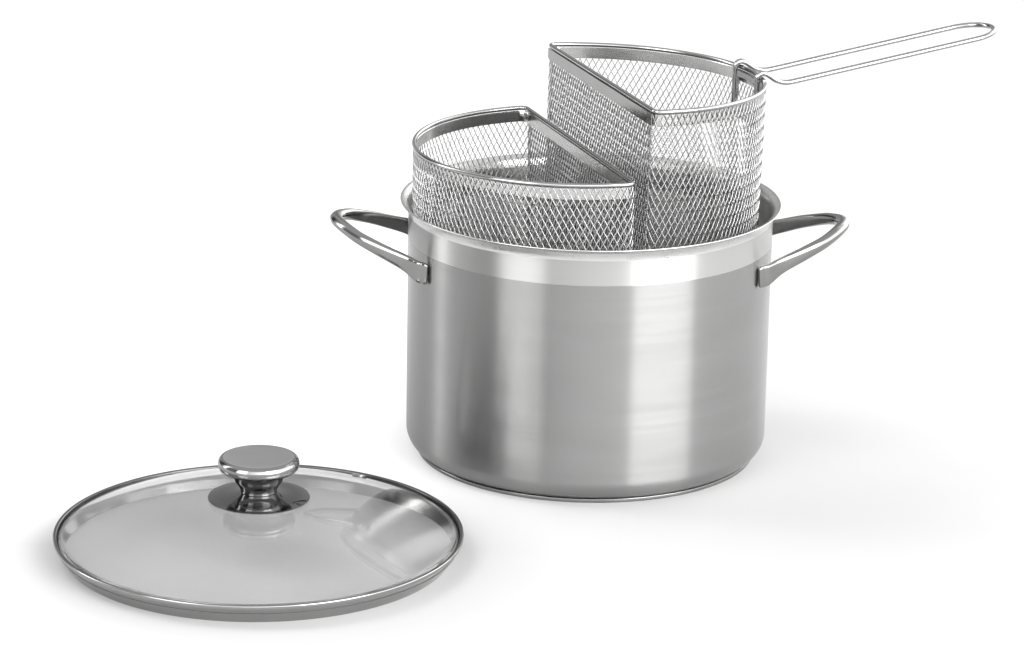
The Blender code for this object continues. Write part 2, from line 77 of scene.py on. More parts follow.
# ------------------------------------------------------------------- node tools
class Tree:
    """Short names for building one material's nodes."""

    def __init__(self, name):
        self.mat = bpy.data.materials.new(name)
        self.mat.use_nodes = True
        self.t = self.mat.node_tree
        self.p = self.t.nodes["Principled BSDF"]
        self.out = self.t.nodes["Material Output"]
        self.coord = self.add("ShaderNodeTexCoord").outputs["Object"]

    def add(self, kind, **props):
        n = self.t.nodes.new(kind)
        for k, v in props.items():
            setattr(n, k, v)
        return n

    def link(self, a, b):
        self.t.links.new(a, b)

    def feed(self, socket, value):
        if isinstance(value, (int, float, tuple)):
            socket.default_value = value
        else:
            self.link(value, socket)

    def scaled(self, scale):
        m = self.add("ShaderNodeMapping")
        m.inputs["Scale"].default_value = scale
        self.link(self.coord, m.inputs["Vector"])
        return m.outputs["Vector"]

    def noise(self, scale, detail=3.0, rough=0.5, distort=0.0):
        n = self.add("ShaderNodeTexNoise")
        n.inputs["Scale"].default_value = 1.0
        n.inputs["Detail"].default_value = detail
        n.inputs["Roughness"].default_value = rough
        n.inputs["Distortion"].default_value = distort
        self.link(self.scaled(scale), n.inputs["Vector"])
        return n.outputs["Fac"]

    def between(self, value, lo, hi, a=0.3, b=0.7):
        r = self.add("ShaderNodeMapRange")
        r.inputs["From Min"].default_value = a
        r.inputs["From Max"].default_value = b
        r.inputs["To Min"].default_value = lo
        r.inputs["To Max"].default_value = hi
        self.link(value, r.inputs["Value"])
        return r.outputs["Result"]

    def math(self, op, a, b=0.0):
        n = self.add("ShaderNodeMath", operation=op)
        self.feed(n.inputs[0], a)
        self.feed(n.inputs[1], b)
        return n.outputs[0]

    def tint(self, value, dark, light):
        m = self.add("ShaderNodeMix", data_type="RGBA")
        self.link(value, m.inputs[0])
        m.inputs[6].default_value = (*dark, 1.0)
        m.inputs[7].default_value = (*light, 1.0)
        return m.outputs[2]

    def bump(self, height, strength, distance):
        b = self.add("ShaderNodeBump")
        b.inputs["Strength"].default_value = strength
        b.inputs["Distance"].default_value = distance
        self.link(height, b.inputs["Height"])
        self.link(b.outputs["Normal"], self.p.inputs["Normal"])
        return b


def steel(name, dark, light, rough, spread, grain=(40.0, 40.0, 40.0), fine=(900.0, 900.0, 900.0),
          aniso=0.0, bump=0.05, bump_mm=0.05, turn=0.25):
    """Stainless steel: soft smudges in its colour, grain in its roughness and relief.
    With aniso it is brushed round the object's vertical axis."""
    t = Tree(name)
    smudge = t.between(t.noise(grain, 4.0, 0.55, 0.3), 0.0, 1.0)
    lines = t.noise(fine, 4.0, 0.6)
    both = t.math("ADD", t.math("MULTIPLY", smudge, 0.5), t.math("MULTIPLY", lines, 0.5))
    t.link(t.tint(both, dark, light), t.p.inputs["Base Color"])
    t.p.inputs["Metallic"].default_value = 1.0
    r = t.math("ADD", t.between(lines, -spread, spread), t.between(smudge, rough - spread, rough + spread, 0.0, 1.0))
    t.link(r, t.p.inputs["Roughness"])
    if aniso:
        t.p.inputs["Anisotropic"].default_value = aniso
        t.p.inputs["Anisotropic Rotation"].default_value = turn
        g = t.add("ShaderNodeTangent", direction_type="RADIAL", axis="Z")
        t.link(g.outputs["Tangent"], t.p.inputs["Tangent"])
    t.bump(lines, bump, bump_mm * MM)
    return t.mat


def silicone(name, colour):
    t = Tree(name)
    n = t.noise((700.0, 700.0, 700.0), 5.0, 0.6)
    dark = tuple(c * 0.95 for c in colour)
    t.link(t.tint(n, dark, colour), t.p.inputs["Base Color"])
    t.link(t.between(n, 0.4, 0.5), t.p.inputs["Roughness"])
    t.p.inputs["IOR"].default_value = 1.41
    t.p.inputs["Transmission Weight"].default_value = 0.6
    t.bump(n, 0.1, 0.00005)
    return t.mat


def clear_glass(name):
    """Tempered glass that lets lamps through to what is behind it."""
    t = Tree(name)
    haze = t.noise((18.0, 18.0, 18.0), 3.0, 0.5)
    t.link(t.tint(haze, (0.790, 0.786, 0.788), (0.820, 0.816, 0.818)), t.p.inputs["Base Color"])
    t.p.inputs["Roughness"].default_value = 0.0
    t.p.inputs["IOR"].default_value = 1.5
    t.p.inputs["Transmission Weight"].default_value = 1.0
    t.bump(haze, 0.04, 0.0006)
    clear = t.add("ShaderNodeBsdfTransparent")
    clear.inputs["Color"].default_value = (0.86, 0.86, 0.86, 1.0)
    path = t.add("ShaderNodeLightPath")
    mix = t.add("ShaderNodeMixShader")
    t.link(path.outputs["Is Shadow Ray"], mix.inputs[0])
    t.link(t.p.outputs["BSDF"], mix.inputs[1])
    t.link(clear.outputs["BSDF"], mix.inputs[2])
    t.link(mix.outputs["Shader"], t.out.inputs["Surface"])
    return t.mat


MAT = {
    # brushed round the pot: the scratches run sideways, so a light smears up and down
    "pot_body": steel("pot_brushed", (0.246, 0.246, 0.244), (0.274, 0.274, 0.272), 0.24, 0.008,
                      (10.0, 10.0, 60.0), (5.0, 5.0, 650.0), aniso=1.0, bump=0.16, bump_mm=0.03),
    "pot_mirror": steel("pot_polished_band", (0.360, 0.360, 0.357), (0.380, 0.380, 0.377), 0.32, 0.006,
                        (20.0, 20.0, 30.0), (8.0, 8.0, 900.0), aniso=1.0, bump=0.03, bump_mm=0.01),
    "pot_lip": steel("pot_polished_lip", (0.54, 0.54, 0.535), (0.60, 0.60, 0.595), 0.30, 0.03,
                     (60.0, 60.0, 60.0), (700.0, 700.0, 700.0), bump=0.03),
    "pot_inside": steel("pot_inside", (0.560, 0.560, 0.555), (0.610, 0.610, 0.605), 0.62, 0.03,
                        (30.0, 30.0, 50.0), (22.0, 22.0, 1600.0), aniso=0.3, bump=0.08, bump_mm=0.02),
    "base": steel("base_polished", (0.250, 0.250, 0.248), (0.280, 0.280, 0.278), 0.20, 0.03,
                  (40.0, 40.0, 40.0), (30.0, 30.0, 1500.0), aniso=0.5, bump=0.05),
    "core": steel("core_aluminium", (0.66, 0.67, 0.68), (0.74, 0.75, 0.76), 0.45, 0.04),
    "handle": steel("handle_polished", (0.235, 0.235, 0.232), (0.280, 0.280, 0.277), 0.10, 0.02,
                    (50.0, 50.0, 50.0), (500.0, 500.0, 1100.0), bump=0.03),
    "rim": steel("lid_rim_polished", (0.310, 0.310, 0.307), (0.345, 0.345, 0.342), 0.12, 0.02,
                 (50.0, 50.0, 50.0), (60.0, 60.0, 1600.0), bump=0.03),
    # painted shade: a very dark copy of the rim steel for the line of shade where the glass meets the rim
    "rim_shade_line": steel("lid_rim_painted_shade_edge", (0.100, 0.100, 0.100), (0.130, 0.130, 0.130), 0.30, 0.03),
    "vent": steel("vent_steel", (0.211, 0.211, 0.211), (0.285, 0.285, 0.285), 0.22, 0.04),
    "knob_side": steel("knob_polished", (0.250, 0.250, 0.250), (0.275, 0.275, 0.275), 0.05, 0.012,
                       (60.0, 60.0, 60.0), (600.0, 600.0, 1500.0), bump=0.01),
    "knob_face": steel("knob_satin_face", (0.560, 0.560, 0.557), (0.630, 0.630, 0.627), 0.24, 0.01,
                       (20.0, 60.0, 60.0), (500.0, 500.0, 300.0), bump=0.01),
    "knob_flange": steel("knob_flange_polished", (0.138, 0.138, 0.138), (0.160, 0.160, 0.160), 0.05, 0.012,
                         (60.0, 60.0, 60.0), (600.0, 600.0, 1500.0), bump=0.01),
    "silicone": silicone("silicone_clear", (0.95, 0.95, 0.95)),
    "screw": steel("fastener_steel", (0.330, 0.330, 0.330), (0.396, 0.396, 0.396), 0.24, 0.04),
    "bead": steel("bead_polished", (0.330, 0.330, 0.327), (0.385, 0.385, 0.382), 0.12, 0.03,
                  (70.0, 70.0, 70.0), (900.0, 900.0, 900.0), bump=0.05),
    "band": steel("band_polished", (0.235, 0.235, 0.232), (0.285, 0.285, 0.282), 0.13, 0.03,
                  (55.0, 55.0, 30.0), (60.0, 60.0, 1500.0), bump=0.06),
    "band_in": steel("band_inside_polished", (0.480, 0.480, 0.475), (0.550, 0.550, 0.545), 0.18, 0.03,
                     (55.0, 55.0, 30.0), (60.0, 60.0, 1500.0), bump=0.06),
    "mesh": steel("mesh_wire", (0.345, 0.345, 0.345), (0.400, 0.400, 0.398), 0.40, 0.04,
                  (80.0, 80.0, 80.0), (1500.0, 1500.0, 1500.0), bump=0.05),
    # painted shade: a darker copy of the mesh wire steel for the right basket's curved wall
    "mesh_shaded_right": steel("mesh_wire_right_basket_painted_shade", (0.275, 0.275, 0.275), (0.320, 0.320, 0.318), 0.36, 0.04,
                  (80.0, 80.0, 80.0), (1500.0, 1500.0, 1500.0), bump=0.05),
    # painted shade: a much darker copy of the mesh wire steel for the flat walls of both baskets
    "mesh_shaded_flat": steel("mesh_wire_flat_wall_painted_shade", (0.164, 0.164, 0.164), (0.193, 0.193, 0.191), 0.36, 0.04,
                       (80.0, 80.0, 80.0), (1500.0, 1500.0, 1500.0), bump=0.05),
    "ring": steel("ring_wire", (0.270, 0.270, 0.270), (0.315, 0.315, 0.315), 0.20, 0.03),
    "wire": steel("handle_wire", (0.320, 0.320, 0.320), (0.370, 0.370, 0.370), 0.13, 0.02,
                  (60.0, 60.0, 60.0), (900.0, 900.0, 900.0), bump=0.02),
    "glass": clear_glass("lid_glass_clear"),
}


# ------------------------------------------------------------------- mesh tools
def catmull(rows, per):
    """A smooth line through rows of numbers."""
    out, n = [], len(rows)
    for i in range(n - 1):
        a, b, c, d = rows[max(i - 1, 0)], rows[i], rows[i + 1], rows[min(i + 2, n - 1)]
        for k in range(per):
            t = k / per
            out.append(tuple(0.5 * (2 * q + (r - p) * t + (2 * p - 5 * q + 4 * r - s) * t * t
                                    + (3 * q - p - 3 * r + s) * t ** 3)
                             for p, q, r, s in zip(a, b, c, d)))
    out.append(tuple(rows[-1]))
    return out


def arc(cx, cz, r, a0, a1, n):
    """Points of an arc in (radius, height); degrees, 0 outwards, 90 upwards."""
    return [(cx + r * math.cos(math.radians(a0 + (a1 - a0) * k / n)),
             cz + r * math.sin(math.radians(a0 + (a1 - a0) * k / n))) for k in range(n + 1)]


def lean(off, az, rim, up):
    a = math.radians(az)
    turn = Vector((0.0, 0.0, 1.0)).rotation_difference(Vector(up).normalized())
    return Vector((off * math.cos(a), off * math.sin(a), rim)), turn


LEANS = {"basket_right": lean(*RIGHT, RIGHT_UP), "basket_handle": lean(*RIGHT, RIGHT_UP)}


def piece(name, verts, faces, mats, body, nodes, index=None, angle=35.0):
    """A mesh piece from millimetres in the row frame, riding on its CAD body."""
    if body in LEANS:
        at, turn = LEANS[body]
        verts = [at + turn @ (Vector(v) - at) for v in verts]
    me = bpy.data.meshes.new(name)
    me.from_pydata([(x * MM, y * MM, z * MM) for x, y, z in verts], [], faces)
    me.update()
    for m in mats:
        me.materials.append(MAT[m])
    if index:
        me.polygons.foreach_set("material_index", index)
    me.validate()
    me.shade_smooth()
    if angle is not None:
        me.set_sharp_from_angle(angle=math.radians(angle))
    ob = bpy.data.objects.new(name, me)
    SCN.collection.objects.link(ob)
    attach(ob, body)
    if nodes:
        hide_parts(*nodes)
    return ob


def lathe(name, profile, seg, mats, body, nodes, centre=(0.0, 0.0), zone=None,
          angle=35.0, tilt=None):
    """Turn a closed outline of (radius, height) about a vertical axis. zone gives each
    outline segment its material; tilt is (point, direction) for a small tilted piece."""
    n = len(profile)
    rows, verts = [], []
    for r, z in profile:
        if r < 1e-6:
            rows.append([len(verts)])
            verts.append((0.0, 0.0, z))
        else:
            rows.append(list(range(len(verts), len(verts) + seg)))
            for k in range(seg):
                a = 2 * math.pi * k / seg
                verts.append((r * math.cos(a), r * math.sin(a), z))
    faces, index = [], []
    for i in range(n):
        a, b = rows[i], rows[(i + 1) % n]
        if len(a) == 1 and len(b) == 1:
            continue
        for k in range(seg):
            j = (k + 1) % seg
            if len(a) == 1:
                f = (a[0], b[j], b[k])
            elif len(b) == 1:
                f = (a[k], a[j], b[0])
            else:
                f = (a[k], a[j], b[j], b[k])
            faces.append(f)
            index.append(zone(profile[i], profile[(i + 1) % n]) if zone else 0)
    if tilt:
        turn = Vector((0.0, 0.0, 1.0)).rotation_difference(tilt[1])
        verts = [tuple(tilt[0] + turn @ Vector(v)) for v in verts]
    ob = piece(name, verts, faces, mats, body, nodes, index if zone else None, angle)
    if not tilt and centre != (0.0, 0.0):
        # the axis of the piece is its own origin, so that its brushing runs round it
        ob.matrix_world = Matrix.Translation((centre[0] * MM, centre[1] * MM, 0.0))
    face_out(ob)
    return ob


def face_out(ob):
    bm = bmesh.new()
    bm.from_mesh(ob.data)
    bmesh.ops.recalc_face_normals(bm, faces=bm.faces[:])
    if bm.calc_volume(signed=True) < 0.0:
        bmesh.ops.reverse_faces(bm, faces=bm.faces[:])
    bm.to_mesh(ob.data)
    bm.free()


def tube_mesh(path, radius, sides, closed, verts, faces):
    """Add a round wire along a path to verts and faces. radius may be one number or a list."""
    n = len(path)
    pts = [Vector(p) for p in path]
    tans = []
    for i in range(n):
        a = pts[(i - 1) % n] if closed or i else pts[0]
        b = pts[(i + 1) % n] if closed or i < n - 1 else pts[-1]
        tans.append((b - a).normalized())
    up = Vector((0.0, 0.0, 1.0))
    if abs(tans[0].dot(up)) > 0.9:
        up = Vector((1.0, 0.0, 0.0))
    side = tans[0].cross(up).normalized()
    frames = [side]
    for i in range(1, n):
        side = tans[i - 1].rotation_difference(tans[i]) @ side
        side = (side - tans[i] * side.dot(tans[i])).normalized()
        frames.append(side)
    twist = 0.0
    if closed:
        back = tans[-1].rotation_difference(tans[0]) @ frames[-1]
        ref = frames[0]
        twist = math.atan2(back.cross(ref).dot(tans[0]), back.dot(ref))
    base = len(verts)
    for i in range(n):
        q = twist * i / n
        s = frames[i]
        h = tans[i].cross(s)
        r = radius[i] if isinstance(radius, list) else radius
        for k in range(sides):
            a = 2 * math.pi * k / sides + q
            verts.append(tuple(pts[i] + (s * math.cos(a) + h * math.sin(a)) * r))
    last = n if closed else n - 1
    for i in range(last):
        u, v = base + i * sides, base + ((i + 1) % n) * sides
        for k in range(sides):
            j = (k + 1) % sides
            faces.append((u + k, u + j, v + j, v + k))
    if not closed:
        faces.append(tuple(range(base + sides - 1, base - 1, -1)))
        faces.append(tuple(range(base + (n - 1) * sides, base + n * sides)))


def tube(name, path, radius, sides, mat, body, nodes, closed=True):
    verts, faces = [], []
    tube_mesh(path, radius, sides, closed, verts, faces)
    ob = piece(name, verts, faces, [mat], body, nodes, angle=60.0)
    face_out(ob)
    return ob


# -------------------------------------------------------------------------- pot
def pot_piece():
    cz, cr = POT_Z0 + POT_CORNER, POT_R - POT_CORNER
    out = [(0.0, POT_Z0), (60.0, POT_Z0)] + arc(cr, cz, POT_CORNER, -90.0, 0.0, 16)
    out += [(POT_R, z) for z in (40.0, 70.0, 100.0, 130.0, MIRROR_Z - 0.3, MIRROR_Z + 0.3, 158.0)]
    lip = catmull([(POT_R, 163.6), (120.25, 166.0), (121.4, 168.6), (123.2, 170.4), (124.6, 171.1)], 4)
    nose = arc(124.85, 171.5, 0.42, -70.0, 95.0, 8)
    back = catmull([(124.2, 171.75), (122.9, 171.3), (121.0, 169.6), (119.75, 166.9), (POT_R - POT_T, 164.4)], 4)
    ins = [(POT_R - POT_T, z) for z in (150.0, 110.0, 70.0, 40.0)]
    ri = POT_CORNER - POT_T
    ins += arc(cr, cz, ri, 0.0, -90.0, 16) + [(60.0, POT_Z0 + POT_T), (0.0, POT_Z0 + POT_T)]
    profile = out + lip + nose + back + ins

    n_out, n_lip = len(out), len(out) + len(lip) + len(nose) + len(back)
    kinds = []
    for i, (r, z) in enumerate(profile):
        if i < n_out:
            kinds.append(0 if z < MIRROR_Z else 1)
        elif i < n_lip:
            kinds.append(2)
        else:
            kinds.append(3)
    lookup = {}
    for p, k in zip(profile, kinds):
        lookup.setdefault(p, k)
    ob = lathe("pot_shell", profile, 288, ["pot_body", "pot_mirror", "pot_lip", "pot_inside"], "pot",
               ["pot_body"], zone=lambda a, b: lookup[a], angle=50.0)
    return ob


pot_piece()

lathe("base_disc", [
    (0.0, 0.0), (BASE_R - 2.2, 0.0)] + arc(BASE_R - 0.8, 0.8, 0.8, -90.0, 0.0, 8) + arc(
        BASE_R - 0.3, BASE_H - 0.3, 0.3, 0.0, 90.0, 4) + [
    (BASE_R - SHEET, BASE_H), (BASE_R - SHEET, SHEET), (0.0, SHEET)],
    256, ["base"], "pot", ["base_cap"], angle=50.0)


def side_handle(name, sign, node):
    half = catmull(list(HANDLE), 10)
    full = [(x, -y, z, w, h, p) for x, y, z, w, h, p in reversed(half[1:])] + half
    # close each foot with a rounded end
    sides = 40
    verts, faces = [], []
    ct, st = math.cos(HANDLE_TURN), math.sin(HANDLE_TURN)
    pts = [Vector((ct * sign * r[0] - st * r[1], st * sign * r[0] + ct * r[1], r[2])) for r in full]
    n = len(pts)

    def ring(centre, side, high, w, h, p):
        for k in range(sides):
            a = 2.0 * math.pi * (k + 0.5) / sides
            c, s = math.cos(a), math.sin(a)
            u = math.copysign(abs(c) ** (2.0 / p), c) * w / 2.0
            v = math.copysign(abs(s) ** (2.0 / p), s) * h / 2.0
            verts.append(tuple(centre + side * u + high * v))

    frames = []
    for i in range(n):
        tan = (pts[min(i + 1, n - 1)] - pts[max(i - 1, 0)]).normalized()
        side = tan.cross(Vector((0.0, 0.0, 1.0))).normalized()
        frames.append((tan, side, side.cross(tan).normalized()))
    caps = 6
    count = 0
    for i in range(n):
        tan, side, high = frames[i]
        w, h, p = full[i][3], full[i][4], full[i][5]
        if i == 0:
            for k in range(caps, 0, -1):
                q = math.radians(90.0 * k / (caps + 0.4))
                ring(pts[0] - tan * 2.2 * math.sin(q), side, high, w * (0.35 + 0.65 * math.cos(q)),
                     h - 3.6 * (1 - math.cos(q)), p)
                count += 1
        ring(pts[i], side, high, w, h, p)
        count += 1
        if i == n - 1:
            for k in range(1, caps + 1):
                q = math.radians(90.0 * k / (caps + 0.4))
                ring(pts[-1] + tan * 2.2 * math.sin(q), side, high, w * (0.35 + 0.65 * math.cos(q)),
                     h - 3.6 * (1 - math.cos(q)), p)
                count += 1
    for i in range(count - 1):
        u, v = i * sides, (i + 1) * sides
        for k in range(sides):
            j = (k + 1) % sides
            faces.append((u + k, u + j, v + j, v + k))
    faces.append(tuple(range(sides - 1, -1, -1)))
    faces.append(tuple(range((count - 1) * sides, count * sides)))
    ob = piece(name, verts, faces, ["handle"], "pot", [node], angle=40.0)
    face_out(ob)


side_handle("grip_left", -1.0, "side_handle_left")
side_handle("grip_right", 1.0, "side_handle_right")

# -------------------------------------------------------------------------- lid
SAG = GLASS_TOP_Z - GLASS_EDGE_Z
DOME = (GLASS_R ** 2 + SAG ** 2) / (2.0 * SAG)
LC = (LID_X, LID_Y)


def dome(r):
    return GLASS_TOP_Z - (DOME - math.sqrt(DOME ** 2 - r ** 2))


top = [(GLASS_HOLE + (121.6 - GLASS_HOLE) * k / 44, dome(GLASS_HOLE + (121.6 - GLASS_HOLE) * k / 44))
       for k in range(45)]
edge = arc(GLASS_R - 1.7, GLASS_EDGE_Z - GLASS_T / 2 + 0.1, 1.7, 80.0, -80.0, 12)
under = [(r, dome(r) - GLASS_T) for r in [120.6 - (120.6 - GLASS_HOLE) * k / 44 for k in range(45)]]
lathe("lid_pane", top + edge + under, 256, ["glass"], "lid", ["lid_glass"], LC, angle=60.0)

# the rim's inner edge beside the glass takes the very dark painted-shade copy of the rim steel
lathe("lid_band", [
    (119.0, 0.0), (119.15, 0.15), (120.9, 3.0), (122.9, 6.2), (124.55, 8.75), (125.5, 9.85)] +
    arc(125.35, 10.9, 0.75, -40.0, 0.0, 4) + [(126.1, 12.0)] + arc(125.35, 12.05, 0.75, 0.0, 90.0, 6) + [
    (124.6, 12.8), (124.0, 12.55), (GLASS_R + 0.3, 12.1), (GLASS_R + 0.25, 6.9), (120.6, 6.9), (120.4, 6.7),
    (120.4, 6.1), (121.9, 6.1), (121.6, 5.6), (118.3, 0.2), (118.5, 0.0)],
    256, ["rim", "rim_shade_line"], "lid", ["lid_rim"], LC,
    zone=lambda a, b: 1 if a[0] > 123.0 and b[0] < 124.7 and b[0] < a[0] and b[1] < 12.85 and b[1] > 6.0 else 0,
    angle=40.0)

vaz = math.radians(VENT_AZ)
slope = VENT_R / math.sqrt(DOME ** 2 - VENT_R ** 2)
vn = Vector((slope * math.cos(vaz), slope * math.sin(vaz), 1.0)).normalized()
vp = Vector((LID_X + VENT_R * math.cos(vaz), LID_Y + VENT_R * math.sin(vaz), dome(VENT_R)))
lathe("vent_grommet", [(1.4, -4.9)] + arc(4.4, -4.6, 0.4, -90.0, 90.0, 6) + [
    (3.1, -4.2), (3.1, 0.2)] + arc(4.3, 0.65, 0.5, -90.0, 90.0, 8) + arc(1.9, 0.65, 0.5, 90.0, 180.0, 6),
    48, ["vent"], "lid", ["steam_vent"], tilt=(vp, vn), angle=50.0)

disc = catmull([(31.05, dome(31.0) + 0.95), (30.2, dome(31.0) + 1.15), (26.0, 36.4), (19.5, 37.3), (15.5, 38.0),
                (12.9, 38.6), (11.4, 39.0)], 6)
lathe("knob_flange", [(3.2, 39.0), (3.2, dome(3.0) + 1.1), (15.0, dome(15.0) + 1.1), (27.6, dome(27.6) + 1.1),
                      (28.0, dome(28.0) + 0.3), (30.9, dome(31.0) + 0.3), (31.2, dome(31.0) + 0.45),
                      (31.3, dome(31.0) + 0.7)] + disc,
      192, ["knob_flange"], "lid", ["knob_base"], LC, angle=50.0)

cap = catmull([(11.2, 39.3), (11.5, 40.6), (12.9, 43.2), (14.6, 45.8), (15.7, 48.6), (16.9, 50.8), (19.0, 52.0),
               (22.9, 53.1), (24.5, 54.5), (25.05, 57.0), (24.5, 59.5), (23.1, 60.9), (21.2, 61.3)], 7)
lathe("knob_head", [(3.2, 39.3)] + cap + [(10.0, 61.3), (0.0, 61.3), (0.0, 55.0), (3.2, 55.0)],
      192, ["knob_side", "knob_face"], "lid", ["knob_cap"], LC,
      zone=lambda a, b: 1 if a[1] > 61.2 and b[1] > 61.2 else 0, angle=50.0)

# ---------------------------------------------------------------------- baskets
WC = -B_E + B_RC
SC = math.sqrt((B_R - B_RC) ** 2 - WC ** 2)
A0 = math.atan2(WC, SC)


class Outline:
    """The D-shaped plan line at one inset, as a function of the length along it. It
    starts at one end of the flat wall, goes round the arc and back along the flat wall."""

    def __init__(self, inset):
        self.rc, self.ri, self.e = B_RC - inset, B_R - inset, -B_E + inset
        self.corner = self.rc * (A0 + math.pi / 2)
        self.arc = self.ri * (math.pi - 2 * A0)
        self.curved = 2 * self.corner + self.arc
        self.length = self.curved + 2 * SC

    def at(self, s):
        """(along, out, normal along, normal out) at length s; it may run past the ends."""
        s = s % self.length
        if s < self.corner:
            a = -math.pi / 2 + s / self.rc
            return (SC + self.rc * math.cos(a), WC + self.rc * math.sin(a), math.cos(a), math.sin(a))
        s -= self.corner
        if s < self.arc:
            a = A0 + s / self.ri
            return (self.ri * math.cos(a), self.ri * math.sin(a), math.cos(a), math.sin(a))
        s -= self.arc
        if s < self.corner:
            a = math.pi - A0 + s / self.rc
            return (-SC + self.rc * math.cos(a), WC + self.rc * math.sin(a), math.cos(a), math.sin(a))
        s -= self.corner
        return (-SC + s, self.e, 0.0, -1.0)


class Place:
    def __init__(self, off, az, rim):
        a = math.radians(az)
        self.n = (math.cos(a), math.sin(a))
        self.t = (-math.sin(a), math.cos(a))
        self.c = (off * self.n[0], off * self.n[1])
        self.rim = rim

    def __call__(self, s, w, z):
        return (self.c[0] + s * self.t[0] + w * self.n[0], self.c[1] + s * self.t[1] + w * self.n[1], z)


def strands(width, height, phase):
    """The two families of slanting wires that fill a width x height sheet with diamonds,
    as lists of (along, up, over or under)."""
    hw, hh = CELL_W / 2, CELL_H / 2
    out = []
    for family in (1, -1):
        reach = height / hh * hw
        first, last = -reach if family > 0 else 0.0, width if family > 0 else width + reach
        k = math.floor(first / CELL_W) - 1
        while k * CELL_W + phase <= last:
            x0 = k * CELL_W + phase
            k += 1
            lo, hi = 0.0, height
            t0, t1 = (0.0 - x0) / (family * hw) * hh, (width - x0) / (family * hw) * hh
            lo, hi = max(lo, min(t0, t1)), min(hi, max(t0, t1))
            if hi - lo < 1.0:
                continue
            zs = [lo] + [j * hh / 2 for j in range(int(lo / (hh / 2)) + 1, int(math.ceil(hi / (hh / 2))))] + [hi]
            line = []
            for z in zs:
                if line and z - line[-1][1] < 0.05:
                    continue
                line.append((x0 + family * hw * z / hh, z, family * math.cos(math.pi * z / hh)))
            if len(line) > 1:
                out.append(line)
    return out


def ribbon_tube(rows, radius, sides, verts, faces):
    """A wire through (point, outward) rows."""
    n = len(rows)
    base = len(verts)
    for i in range(n):
        p, up = rows[i]
        tan = (rows[min(i + 1, n - 1)][0] - rows[max(i - 1, 0)][0]).normalized()
        side = tan.cross(up).normalized()
        high = side.cross(tan)
        for k in range(sides):
            a = 2 * math.pi * k / sides
            verts.append(tuple(p + side * (math.cos(a) * radius) + high * (math.sin(a) * radius)))
    for i in range(n - 1):
        u, v = base + i * sides, base + (i + 1) * sides
        for k in range(sides):
            j = (k + 1) % sides
            faces.append((u + k, v + k, v + j, u + j))
    faces.append(tuple(range(base, base + sides)))
    faces.append(tuple(range(base + n * sides - 1, base + (n - 1) * sides - 1, -1)))


